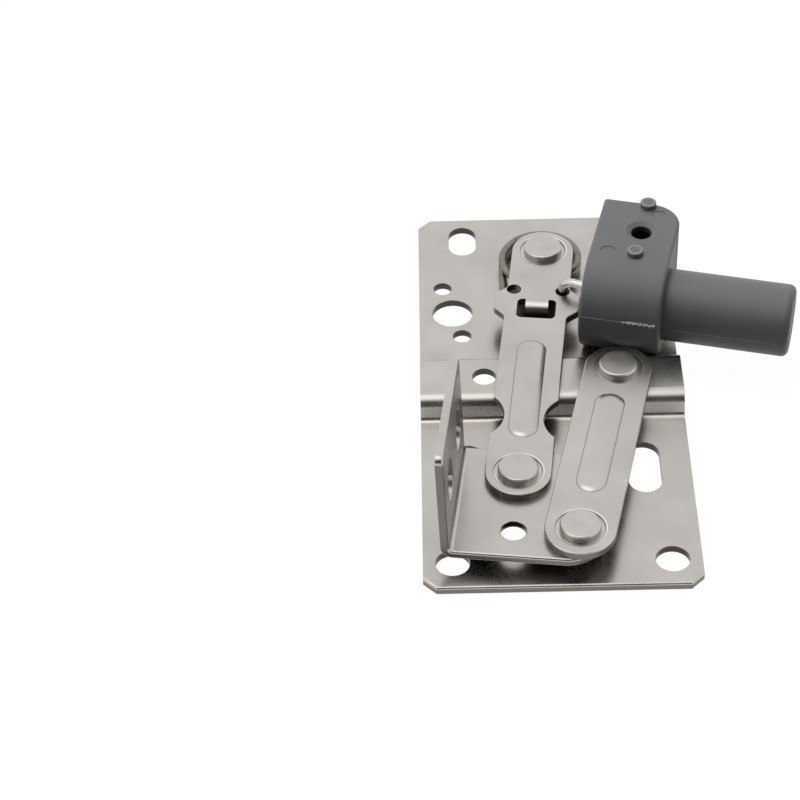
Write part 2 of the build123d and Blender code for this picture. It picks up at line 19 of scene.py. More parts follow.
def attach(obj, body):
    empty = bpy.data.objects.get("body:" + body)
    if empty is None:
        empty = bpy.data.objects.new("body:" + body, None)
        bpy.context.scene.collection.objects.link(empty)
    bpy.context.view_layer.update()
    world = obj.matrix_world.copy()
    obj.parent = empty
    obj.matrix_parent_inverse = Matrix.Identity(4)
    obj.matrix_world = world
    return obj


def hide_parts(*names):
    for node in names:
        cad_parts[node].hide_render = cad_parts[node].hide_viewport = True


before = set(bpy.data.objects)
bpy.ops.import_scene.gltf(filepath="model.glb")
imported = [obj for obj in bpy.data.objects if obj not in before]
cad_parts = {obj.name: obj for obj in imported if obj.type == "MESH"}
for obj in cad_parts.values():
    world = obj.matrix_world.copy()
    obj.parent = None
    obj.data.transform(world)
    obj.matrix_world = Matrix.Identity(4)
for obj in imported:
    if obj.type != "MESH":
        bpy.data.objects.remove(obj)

log = logging.getLogger("flap_hinge")
logging.basicConfig(level=logging.INFO, format="%(name)s: %(message)s")

MM = 0.001  # metres in a millimetre


def mm(*values: float) -> Vector:
    """A point or direction given in millimetres, in metres."""
    return Vector(values) * MM


def linear(hex_colour: str) -> tuple[float, float, float, float]:
    """An sRGB hex colour turned into linear light, by the curve of the sRGB standard.

    Args:
        hex_colour: Colour as "#rrggbb".

    Returns:
        Linear red, green and blue, with an alpha of one.
    """
    parts = [int(hex_colour[i:i + 2], 16) / 255 for i in (1, 3, 5)]
    light = [c / 12.92 if c <= 0.04045 else ((c + 0.055) / 1.055) ** 2.4 for c in parts]
    return light[0], light[1], light[2], 1.0


def node(
    tree: bpy.types.NodeTree,
    kind: str,
    settings: dict[str, Any] | None = None,
    inputs: dict[str | int, Any] | None = None,
) -> bpy.types.Node:
    """Adds a shader node with its settings, and sets or links its inputs.

    Args:
        tree: Node tree that gets the node.
        kind: Blender's type name, such as "ShaderNodeTexNoise".
        settings: Properties of the node itself.
        inputs: Values, or output sockets to link, by input name or number.

    Returns:
        The new node.
    """
    made = tree.nodes.new(kind)
    for name, value in (settings or {}).items():
        setattr(made, name, value)
    for name, value in (inputs or {}).items():
        socket = made.inputs[name]
        if isinstance(value, bpy.types.NodeSocket):
            tree.links.new(value, socket)
        else:
            socket.default_value = value
    return made


def seen_plainly(tree: bpy.types.NodeTree) -> bpy.types.NodeSocket:
    """One for rays of the camera, of reflections and of clear pieces, nothing for soft light.

    Args:
        tree: Node tree of the floor or of the surroundings.

    Returns:
        Output socket with the share.
    """
    rays = node(tree, "ShaderNodeLightPath").outputs
    seen = node(
        tree,
        "ShaderNodeMath",
        {"operation": "MAXIMUM"},
        {0: rays["Is Camera Ray"], 1: rays["Is Glossy Ray"]},
    ).outputs[0]
    return node(
        tree,
        "ShaderNodeMath",
        {"operation": "MAXIMUM"},
        {0: seen, 1: rays["Is Transmission Ray"]},
    ).outputs[0]


class Place(Enum):
    """Where an accent lies."""

    RING = "a thin line round an upright axis, or round a level line"
    WELL = "the wall of an upright hole, below a height"
    WALLS = "upright sheared walls inside a rectangle seen from above"
    FACE = "an upright face that is turned one way"
    UNDER = "a face that looks down"


UPRIGHT = 0.12  # most rise of the normal of a wall that counts as upright
FACING = 0.95  # least share of a normal that counts as facing one way
DOWNWARD = -0.9  # most rise of the normal of an under side
WELL_FADE = 1.5  # depth over which a well's wall darkens, mm


@dataclass(frozen=True)
class Accent:
    """A place where a finish has another colour, in millimetres.

    Attributes:
        place: Which kind of place it is.
        colour: Its colour as sRGB hex.
        centre: Its middle, seen from above.
        size: Ring radius and line width, well radius and top height, or half sizes.
        end: For a ring round a line, where that line ends; it starts at the middle.
        along: For walls, the way that pressed walls face, which stay as they are. For a
            face, the way that it faces.
    """

    place: Place
    colour: str
    centre: tuple[float, float] = (0.0, 0.0)
    size: tuple[float, float] = (100.0, 100.0)
    end: tuple[float, float] | None = None
    along: tuple[float, float] | None = None

    def mask(self, tree: bpy.types.NodeTree) -> bpy.types.NodeSocket:
        """One where the accent lies and nothing elsewhere.

        Args:
            tree: The material's node tree.

        Returns:
            Output socket with the mask.
        """
        spot = node(tree, "ShaderNodeTexCoord").outputs["Object"]
        moved = node(
            tree, "ShaderNodeVectorMath", {"operation": "SUBTRACT"}, {0: spot, 1: mm(*self.centre, 0)}
        ).outputs[0]
        if self.place in (Place.WALLS, Place.FACE, Place.UNDER):
            return self.walls(tree, moved)
        level = node(
            tree, "ShaderNodeVectorMath", {"operation": "MULTIPLY"}, {0: moved, 1: (1, 1, 0)}
        ).outputs[0]
        if self.end is not None:
            level = self.beside(tree, level)
        reach = node(tree, "ShaderNodeVectorMath", {"operation": "LENGTH"}, {0: level}).outputs["Value"]
        if self.place is Place.WELL:
            height = node(tree, "ShaderNodeSeparateXYZ", None, {0: moved}).outputs["Z"]
            inside = self.step(tree, reach, self.size[0] * MM)
            fade = node(
                tree,
                "ShaderNodeMapRange",
                None,
                {
                    "Value": height,
                    "From Min": self.size[1] * MM,
                    "From Max": (self.size[1] - WELL_FADE) * MM,
                },
            ).outputs["Result"]
            return node(tree, "ShaderNodeMath", {"operation": "MULTIPLY"}, {0: inside, 1: fade}).outputs[0]
        off = node(
            tree, "ShaderNodeMath", {"operation": "SUBTRACT"}, {0: reach, 1: self.size[0] * MM}
        ).outputs[0]
        away = node(tree, "ShaderNodeMath", {"operation": "ABSOLUTE"}, {0: off}).outputs[0]
        return node(
            tree,
            "ShaderNodeMapRange",
            {"interpolation_type": "SMOOTHSTEP"},
            {"Value": away, "From Min": self.size[1] * MM, "From Max": self.size[1] * MM / 4},
        ).outputs["Result"]

    def beside(self, tree: bpy.types.NodeTree, level: bpy.types.NodeSocket) -> bpy.types.NodeSocket:
        """The way from the nearest point of the accent's line to the surface point.

        Args:
            tree: The material's node tree.
            level: The surface point from the middle, laid flat.

        Returns:
            Output socket with that way.
        """
        run = Vector((self.end[0] - self.centre[0], self.end[1] - self.centre[1], 0.0)) * MM
        along = node(
            tree,
            "ShaderNodeVectorMath",
            {"operation": "DOT_PRODUCT"},
            {0: level, 1: run / run.length_squared},
        ).outputs["Value"]
        share = node(tree, "ShaderNodeClamp", None, {"Value": along}).outputs[0]
        nearest = node(
            tree, "ShaderNodeVectorMath", {"operation": "SCALE"}, {0: run, "Scale": share}
        ).outputs[0]
        return node(
            tree, "ShaderNodeVectorMath", {"operation": "SUBTRACT"}, {0: level, 1: nearest}
        ).outputs[0]

    def walls(self, tree: bpy.types.NodeTree, moved: bpy.types.NodeSocket) -> bpy.types.NodeSocket:
        """The mask of upright walls inside the half sizes, or of the faces that face one way.

        Args:
            tree: The material's node tree.
            moved: The surface point from the accent's middle.

        Returns:
            Output socket with the mask.
        """
        facing = node(
            tree,
            "ShaderNodeVectorTransform",
            {"vector_type": "NORMAL", "convert_from": "WORLD", "convert_to": "OBJECT"},
            {0: node(tree, "ShaderNodeNewGeometry").outputs["True Normal"]},
        ).outputs[0]
        share = node(
            tree,
            "ShaderNodeVectorMath",
            {"operation": "DOT_PRODUCT"},
            {0: facing, 1: (*(self.along or (0, 0)), 0)},
        ).outputs["Value"]
        if self.place is Place.FACE:
            return node(
                tree, "ShaderNodeMath", {"operation": "GREATER_THAN"}, {0: share, 1: FACING}
            ).outputs[0]
        rise = node(tree, "ShaderNodeSeparateXYZ", None, {0: facing}).outputs["Z"]
        if self.place is Place.UNDER:
            return self.step(tree, rise, DOWNWARD)
        spot = node(tree, "ShaderNodeSeparateXYZ", None, {0: moved})
        limits = [(rise, UPRIGHT), (share, FACING)]
        limits += [(spot.outputs[axis], half * MM) for axis, half in zip("XY", self.size)]
        mask: bpy.types.NodeSocket | None = None
        for value, limit in limits:
            size = node(tree, "ShaderNodeMath", {"operation": "ABSOLUTE"}, {0: value}).outputs[0]
            inside = self.step(tree, size, limit)
            mask = inside if mask is None else node(
                tree, "ShaderNodeMath", {"operation": "MULTIPLY"}, {0: mask, 1: inside}
            ).outputs[0]
        return mask

    @staticmethod
    def step(
        tree: bpy.types.NodeTree, value: bpy.types.NodeSocket, limit: float
    ) -> bpy.types.NodeSocket:
        """One where a value is under a limit, and nothing elsewhere."""
        return node(
            tree, "ShaderNodeMath", {"operation": "LESS_THAN"}, {0: value, 1: limit}
        ).outputs[0]


@dataclass(frozen=True)
class Finish:
    """One real material with the way its surface was made.

    Colours are sRGB hex; lengths are real millimetres.
    """

    name: str
    colour: str
    shade: str  # colour of the darker patches
    metallic: float
    roughness: tuple[float, float]  # least and most
    grain: float  # size of the fine marks, mm
    patch: float  # size of the slow colour changes, mm
    relief: float  # height of the fine marks, mm
    ior: float = 1.5
    accents: tuple[Accent, ...] = ()

    def scale(self, size: float) -> float:
        """Texture scale, per metre, of marks of a size in millimetres."""
        return 1.0 / (size * MM)

    def material(self) -> bpy.types.Material:
        """Builds the procedural material of this finish."""
        made = bpy.data.materials.new(self.name)
        made.use_nodes = True
        tree = made.node_tree
        tree.nodes.clear()
        place = node(tree, "ShaderNodeTexCoord").outputs["Object"]
        marks = node(
            tree,
            "ShaderNodeTexNoise",
            None,
            {"Vector": place, "Scale": self.scale(self.grain), "Detail": 3.0, "Roughness": 0.6},
        ).outputs["Fac"]
        patches = node(
            tree,
            "ShaderNodeTexNoise",
            None,
            {"Vector": place, "Scale": self.scale(self.patch), "Detail": 4.0, "Roughness": 0.55},
        ).outputs["Fac"]
        spread = node(
            tree,
            "ShaderNodeMapRange",
            None,
            {"Value": patches, "From Min": 0.3, "From Max": 0.7},
        ).outputs["Result"]
        colour = node(
            tree,
            "ShaderNodeMix",
            {"data_type": "RGBA"},
            {0: spread, 6: linear(self.shade), 7: linear(self.colour)},
        ).outputs[2]
        for accent in self.accents:
            colour = node(
                tree,
                "ShaderNodeMix",
                {"data_type": "RGBA"},
                {0: accent.mask(tree), 6: colour, 7: linear(accent.colour)},
            ).outputs[2]
        wear = node(
            tree,
            "ShaderNodeMath",
            {"operation": "MULTIPLY_ADD"},
            {0: marks, 1: 0.6, 2: 0.2},
        ).outputs[0]
        blend = node(
            tree,
            "ShaderNodeMath",
            {"operation": "MULTIPLY_ADD"},
            {0: spread, 1: 0.4, 2: wear},
        ).outputs[0]
        roughness = node(
            tree,
            "ShaderNodeMapRange",
            None,
            {
                "Value": blend,
                "From Min": 0.3,
                "From Max": 0.9,
                "To Min": self.roughness[0],
                "To Max": self.roughness[1],
            },
        ).outputs["Result"]
        bump = node(
            tree,
            "ShaderNodeBump",
            None,
            {"Height": marks, "Strength": 1.0, "Distance": self.relief * MM},
        ).outputs["Normal"]
        inputs: dict[str | int, Any] = {
            "Base Color": colour,
            "Metallic": self.metallic,
            "Roughness": roughness,
            "Normal": bump,
        }
        if self.metallic < 0.5:
            inputs["IOR"] = self.ior
        shader = node(tree, "ShaderNodeBsdfPrincipled", None, inputs)
        node(tree, "ShaderNodeOutputMaterial", None, {"Surface": shader.outputs["BSDF"]})
        return made


# What every pressed sheet part has in common
SHEET: dict[str, Any] = dict(
    colour="#c5c1bc",
    shade="#b8b4af",
    metallic=1.0,
    roughness=(0.2, 0.34),
    grain=0.35,
    patch=9.0,
    relief=0.0028,
)
PAINTED_RING_SHADE = "#77736e"  # painted shade at the foot of a coined ring
PAINTED_RING_HIGHLIGHT = "#efebe6"  # painted highlight on its far wall
PAINTED_BEAD_SHADE = "#89857f"  # painted shade at the foot of a pressed bead
# sheared walls: darker for thinner plating, and painted darker still as a painted dark reflection
SHEARED_WALL_PAINTED_DARKER = "#75716c"
# torn steel of a hole's wall, painted almost black as painted shade inside the hole
TORN_HOLE_WALL_AND_SHADE = "#45423f"
# painted shade on the flange's inner face
PAINTED_FLANGE_SHADE = "#95918c"
# painted shade on the under sides of the moving sheets
PAINTED_UNDER_SHADE = "#6f6b66"
FLANGE_FACING = (0.992, -0.125)  # the way that the flange's inner face faces

# Cold-rolled steel sheet, pressed and satin nickel plated: a warm pale grey that mirrors
# softly, with a fine speckle from the rolled skin under the plating. Sheared walls take less
# plating and look darker, and are painted darker still as a painted dark reflection; the
# torn wall of a punched hole is painted almost black, partly its torn steel and partly
# painted shade inside the hole. The flange's inner face is painted darker as painted shade,
# and the under sides of the moving sheets are painted darker as painted shade between them
PLATE_SHEET = Finish(
    "satin_nickel_on_stamped_plate",
    accents=(
        Accent(Place.WALLS, SHEARED_WALL_PAINTED_DARKER),
        Accent(Place.WALLS, TORN_HOLE_WALL_AND_SHADE, size=(24.4, 52.6)),
    ),
    **SHEET,
)
BRACKET_SHEET = Finish(
    "satin_nickel_on_folded_bracket",
    accents=(
        Accent(Place.WALLS, SHEARED_WALL_PAINTED_DARKER, along=FLANGE_FACING),
        Accent(Place.WALLS, TORN_HOLE_WALL_AND_SHADE, centre=(-9.1, -44.8), size=(2.7, 2.7)),
        # painted shade on the flange's inner face
        Accent(Place.FACE, PAINTED_FLANGE_SHADE, along=FLANGE_FACING),
        Accent(Place.UNDER, PAINTED_UNDER_SHADE),
    ),
    **SHEET,
)


def arm_sheet(
    name: str,
    ends: Sequence[tuple[float, float]],
    bead: tuple[float, float],
    extra: tuple[Accent, ...] = (),
) -> Finish:
    """The same sheet on an arm, coined down in a ring round each rivet, with a raised bead.

    Each coined ring gets a painted shade line round its foot and a painted highlight on its
    far wall, and the bead a painted shade line round its foot. Sheared walls and under sides
    are painted darker, as on the bracket.

    Args:
        name: Name of the arm's node.
        ends: The arm's two pivots, in millimetres.
        bead: Where the bead's middle line starts and ends, in millimetres along the arm.
        extra: Accents of this arm alone.

    Returns:
        The finish of that arm.
    """
    start, stop = (Vector(end) for end in ends)
    way = (stop - start).normalized()
    # painted shade lines round the coined rings
    ring_shades = tuple(Accent(Place.RING, PAINTED_RING_SHADE, centre=end, size=(4.72, 0.13)) for end in ends)
    # painted highlights on the far walls of the coined rings
    ring_highlights = tuple(
        Accent(Place.RING, PAINTED_RING_HIGHLIGHT, centre=(x + 0.18, y + 0.2), size=(4.8, 0.17))
        for x, y in ends
    )
    # painted shade line round the foot of the bead
    outline = Accent(
        Place.RING,
        PAINTED_BEAD_SHADE,
        centre=tuple(start + way * bead[0]),
        end=tuple(start + way * bead[1]),
        size=(2.88, 0.14),
    )
    return Finish(
        f"satin_nickel_on_{name}",
        accents=(
            # sheared walls painted darker as a painted dark reflection, under sides as painted shade
            Accent(Place.WALLS, SHEARED_WALL_PAINTED_DARKER),
            Accent(Place.UNDER, PAINTED_UNDER_SHADE),
            *ring_highlights,
            *ring_shades,
            outline,
            *extra,
        ),
        **SHEET,
    )


# Rivets and bush: steel wire, cold headed and satin nickel plated, smoother than the sheet
HEADED_NICKEL = Finish(
    "satin_nickel_on_headed_rivets",
    colour="#c6c2bd",
    shade="#bab6b1",
    metallic=1.0,
    roughness=(0.25, 0.36),
    grain=0.3,
    patch=3.0,
    relief=0.003,
)

# Spring steel wire, drawn and plated: darker than the sheet, with a soft shine
SPRING_WIRE = Finish(
    "plated_drawn_spring_wire",
    colour="#8f8b84",
    shade="#75716b",
    metallic=1.0,
    roughness=(0.24, 0.4),
    grain=0.3,
    patch=2.5,
    relief=0.004,
)

# Soft steel wire, drawn bright and zinc plated: almost a mirror
BRIGHT_WIRE = Finish(
    "bright_zinc_on_drawn_wire",
    colour="#d3d1cc",
    shade="#c0bdb8",
    metallic=1.0,
    roughness=(0.12, 0.22),
    grain=0.25,
    patch=2.0,
    relief=0.003,
)

# Acetal moulded in a spark-eroded tool: mid grey, satin, with a very fine even texture.
# The rims of its pegs carry a painted highlight, and the screw hole's wall is painted near black as
# painted shade
MOULDED_ACETAL = Finish(
    "moulded_acetal_mid_grey",
    colour="#636466",
    shade="#5c5d5f",
    metallic=0.0,
    roughness=(0.42, 0.56),
    grain=0.3,
    patch=11.0,
    relief=0.016,
    ior=1.48,
    accents=(
        # painted shade down the screw hole
        Accent(Place.WELL, "#0b0b0c", centre=(19.3, 23.62), size=(2.4, 21.8)),
        # painted highlights round the rims of the two pegs
        Accent(Place.RING, "#7a7b7d", centre=(21.28, 31.58), size=(1.35, 0.5)),
        Accent(Place.RING, "#7a7b7d", centre=(17.46, 16.25), size=(1.35, 0.5)),
    ),
)

# The same acetal where the mould's halves met, painted paler as a painted highlight along the seam
SEAM_ACETAL_PAINTED_HIGHLIGHT = Finish(
    "moulded_acetal_parting_seam",
    colour="#8b8d90",
    shade="#7d7f82",
    metallic=0.0,
    roughness=(0.4, 0.52),
    grain=0.16,
    patch=3.0,
    relief=0.004,
    ior=1.48,
)

# The same acetal, pressed in as a plug with a smoother face
PLUG_ACETAL = Finish(
    "moulded_acetal_plug",
    colour="#5c6063",
    shade="#54585b",
    metallic=0.0,
    roughness=(0.35, 0.48),
    grain=0.2,
    patch=5.0,
    relief=0.005,
    ior=1.48,
)

# Acetal in its natural milky white, turned or moulded smooth
NATURAL_ACETAL = Finish(
    "natural_white_acetal",
    colour="#dedbd2",
    shade="#d2cfc6",
    metallic=0.0,
    roughness=(0.3, 0.4),
    grain=0.3,
    patch=4.0,
    relief=0.003,
    ior=1.48,
)

# Extruded and drawn aluminium tube, unplated
DRAWN_ALUMINIUM = Finish(
    "drawn_aluminium_tube",
    colour="#d6d7d8",
    shade="#c8c9ca",
    metallic=1.0,
    roughness=(0.22, 0.34),
    grain=0.4,
    patch=6.0,
    relief=0.003,
)

# Piston rod: steel, ground and polished to slide in its seal
GROUND_ROD = Finish(
    "ground_steel_rod",
    colour="#d0cfcc",
    shade="#c4c3c0",
    metallic=1.0,
    roughness=(0.08, 0.15),
    grain=0.2,
    patch=3.0,
    relief=0.001,
)

# Nitrile rubber seal, moulded, black and dull
NITRILE = Finish(
    "moulded_nitrile_rubber",
    colour="#1d1d1e",
    shade="#161617",
    metallic=0.0,
    roughness=(0.5, 0.65),
    grain=0.15,
    patch=1.5,
    relief=0.004,
    ior=1.52,
)

# Pale flash at a mould parting line, torn and frayed, almost white
MOULD_FLASH = Finish(
    "frayed_acetal_flash",
    colour="#d9dadb",
    shade="#a9abad",
    metallic=0.0,
    roughness=(0.5, 0.7),
    grain=0.12,
    patch=0.5,
    relief=0.01,
    ior=1.48,
)


WELD_REACH = 1e-6  # metres between points that are one point
FLAT_ANGLE = 0.6  # most angle between facets of one flat face, degrees
EDGE_FACETS = 3  # across a rolled edge


def dress(names: Iterable[str], finish: Finish) -> None:
    """Gives CAD nodes one finish, in place of the material they came with.

    Args:
        names: The nodes.
        finish: What they are made of.
    """
    made = finish.material()
    for name in names:
        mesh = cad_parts[name].data
        mesh.materials.clear()
        mesh.materials.append(made)
        log.info("%s: %s", name, finish.name)


def soften(name: str, width: float, angle: float) -> None:
    """Rolls the sharp edges of a CAD node over a little, as tumbling and plating do.

    Args:
        name: The node.
        width: Width of the rolled edge, in millimetres.
        angle: Least angle between the faces of an edge that is rolled, in degrees.
    """
    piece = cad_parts[name]
    weld = piece.modifiers.new("join_faces", "WELD")
    weld.merge_threshold = WELD_REACH
    flat = piece.modifiers.new("flat_faces", "DECIMATE")
    flat.decimate_type = "DISSOLVE"
    flat.angle_limit = math.radians(FLAT_ANGLE)
    roll = piece.modifiers.new("rolled_edges", "BEVEL")
    roll.width = width * MM
    roll.segments = EDGE_FACETS
    roll.limit_method = "ANGLE"
    roll.angle_limit = math.radians(angle)
    roll.use_clamp_overlap = True
    smooth = piece.modifiers.new("even_shading", "WEIGHTED_NORMAL")
    smooth.mode = "FACE_AREA"
    smooth.weight = 100
    smooth.keep_sharp = True


def add_mesh(
    name: str,
    points: Sequence[Vector],
    faces: Sequence[Sequence[int]],
    finish: Finish,
    body: str,
) -> bpy.types.Object:
    """Makes a smooth mesh piece that rides on a body.

    Args:
        name: The piece's name.
        points: Vertices in metres, in the row frame.
        faces: Vertex numbers of each face.
        finish: What it is made of.
        body: CAD body that it rides on.

    Returns:
        The new object.
    """
    mesh = bpy.data.meshes.new(name)
    mesh.from_pydata([tuple(p) for p in points], [], [list(f) for f in faces])
    work = bmesh.new()
    work.from_mesh(mesh)
    bmesh.ops.recalc_face_normals(work, faces=work.faces)
    work.to_mesh(mesh)
    work.free()
    mesh.shade_smooth()
    mesh.materials.append(finish.material())
    piece = bpy.data.objects.new(name, mesh)
    bpy.context.scene.collection.objects.link(piece)
    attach(piece, body)
    log.info("%s: %d faces on %s", name, len(mesh.polygons), body)
    return piece


def tube(
    path: Sequence[Vector], radius: float | Callable[[float], float], sides: int
) -> tuple[list[Vector], list[list[int]]]:
    """A closed tube round a path, with capped ends.

    Args:
        path: Points along the tube's middle, in metres.
        radius: Radius in metres, or a function of the share of the path done.
        sides: Points round the tube.

    Returns:
        Its vertices and faces.
    """
    points: list[Vector] = []
    faces: list[list[int]] = []
    up = Vector((0.0, 0.0, 1.0))
    count = len(path)
    for i, middle in enumerate(path):
        ahead = (path[min(i + 1, count - 1)] - path[max(i - 1, 0)]).normalized()
        side = ahead.cross(up)
        if side.length < 0.05:
            side = ahead.cross(Vector((1.0, 0.0, 0.0)))
        side.normalize()
        if points and i:
            before = (points[-sides] - path[i - 1]).normalized()
            side = (before - ahead * before.dot(ahead)).normalized()
        other = ahead.cross(side).normalized()
        reach = radius(i / (count - 1)) if callable(radius) else radius
        for j in range(sides):
            turn = 2 * math.pi * j / sides
            points.append(middle + (side * math.cos(turn) + other * math.sin(turn)) * reach)
    for i in range(count - 1):
        for j in range(sides):
            here, there = i * sides + j, i * sides + (j + 1) % sides
            faces.append([here, there, there + sides, here + sides])
    faces.append(list(range(sides))[::-1])
    faces.append([(count - 1) * sides + j for j in range(sides)])
    return points, faces


@dataclass
class SheetParts:
    """The pressed sheet parts: base plate, both arms and the flap bracket."""

    rolled_edge: float = 0.2  # width of an edge rolled over by pressing and tumbling, mm
    arm_edge: float = 0.12
    sharp: float = 32.0  # least angle that counts as an edge, degrees
    outer_ends: tuple[tuple[float, float], ...] = ((13.4, -1.4), (3.33, -46.08))
    inner_ends: tuple[tuple[float, float], ...] = ((0.0, 36.1), (-7.71, -30.55))
    outer_bead: tuple[float, float] = (10.9, 33.1)  # along the arm, mm
    inner_bead: tuple[float, float] = (31.9, 54.6)
    tab_shade: Accent = Accent(Place.WELL, "#55524e", centre=(-2.05, 18.3), size=(4.0, 7.3))

    def build(self) -> None:
        """Rolls their edges and dresses them."""
        soften("base_plate", self.rolled_edge, self.sharp)
        soften("flap_bracket", self.rolled_edge, self.sharp)
        soften("outer_arm", self.arm_edge, self.sharp)
        soften("inner_arm", self.arm_edge, self.sharp)
        dress(["base_plate"], PLATE_SHEET)
        dress(["flap_bracket"], BRACKET_SHEET)
        dress(["outer_arm"], arm_sheet("outer_arm", self.outer_ends, self.outer_bead))
        dress(
            ["inner_arm"],
            arm_sheet("inner_arm", self.inner_ends, self.inner_bead, (self.tab_shade,)),
        )


@dataclass
class Rivets:
    """The rivets and the spacer bush."""

    names: tuple[str, ...] = (
        "outer_arm_rivet",
        "bracket_rivet",
        "inner_arm_rivet",
        "link_rivet_head",
        "link_rivet_tail",
        "spacer_bush",
    )

    def build(self) -> None:
        """Dresses every rivet and the bush."""
        dress(self.names, HEADED_NICKEL)


@dataclass
class TorsionSpring:
    """Coil of plated wire round the spacer bush, its turns lying on each other.

    Sizes are in millimetres and angles in degrees.
    """

    wire: float = 1.62
    radius: float = 7.94  # to the middle of the wire
    pitch: float = 1.66
    centre: tuple[float, float] = (-0.5, 37.5)
    low: float = 1.65  # under side of the lowest turn
    start: float = 180.0  # where the base leg leaves it
    end: float = -43.0  # where the arm leg leaves it, one turn further on
    leg: float = 11.0  # base leg, from the coil to its foot
    leg_bend: float = 1.5
    foot: float = 0.35  # height of the foot's end, in its hole
    arm_leg: float = 8.0
    steps: int = 56  # points along a turn
    bend_steps: int = 8
    leg_steps: int = 8
    arm_leg_steps: int = 6
    sides: int = 20

    def path(self) -> list[Vector]:
        """Middle line from the foot in the plate to the end of the arm leg."""
        height = self.low + self.wire / 2
        x = self.centre[0] - self.radius
        far = self.centre[1] - self.leg
        line = [mm(x, far, z) for z in (self.foot, (self.foot + height - self.leg_bend) / 2)]
        for i in range(self.bend_steps + 1):
            turn = math.radians(90 * i / self.bend_steps)
            line.append(
                mm(
                    x,
                    far + self.leg_bend * (1 - math.cos(turn)),
                    height - self.leg_bend * (1 - math.sin(turn)),
                )
            )
        for i in range(1, self.leg_steps):
            done = i / self.leg_steps
            line.append(mm(x, far + self.leg_bend + (self.leg - self.leg_bend) * done, height))
        sweep = 360 + self.start - self.end
        count = round(self.steps * sweep / 360)
        for i in range(count + 1):
            done = sweep * i / count
            turn = math.radians(self.start - done)
            line.append(
                mm(
                    self.centre[0] + self.radius * math.cos(turn),
                    self.centre[1] + self.radius * math.sin(turn),
                    height + self.pitch * done / 360,
                )
            )
        ahead = (line[-1] - line[-2]).normalized()
        last = line[-1]
        count = self.arm_leg_steps
        line += [last + ahead * self.arm_leg * MM * i / count for i in range(1, count + 1)]
        return line

    def build(self) -> None:
        """Winds the coil in place of the plain CAD wire."""
        points, faces = tube(self.path(), self.wire / 2 * MM, self.sides)
        coil = add_mesh("wound_spring", points, faces, SPRING_WIRE, "base")
        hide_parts("torsion_spring")
        dress(["torsion_spring"], SPRING_WIRE)


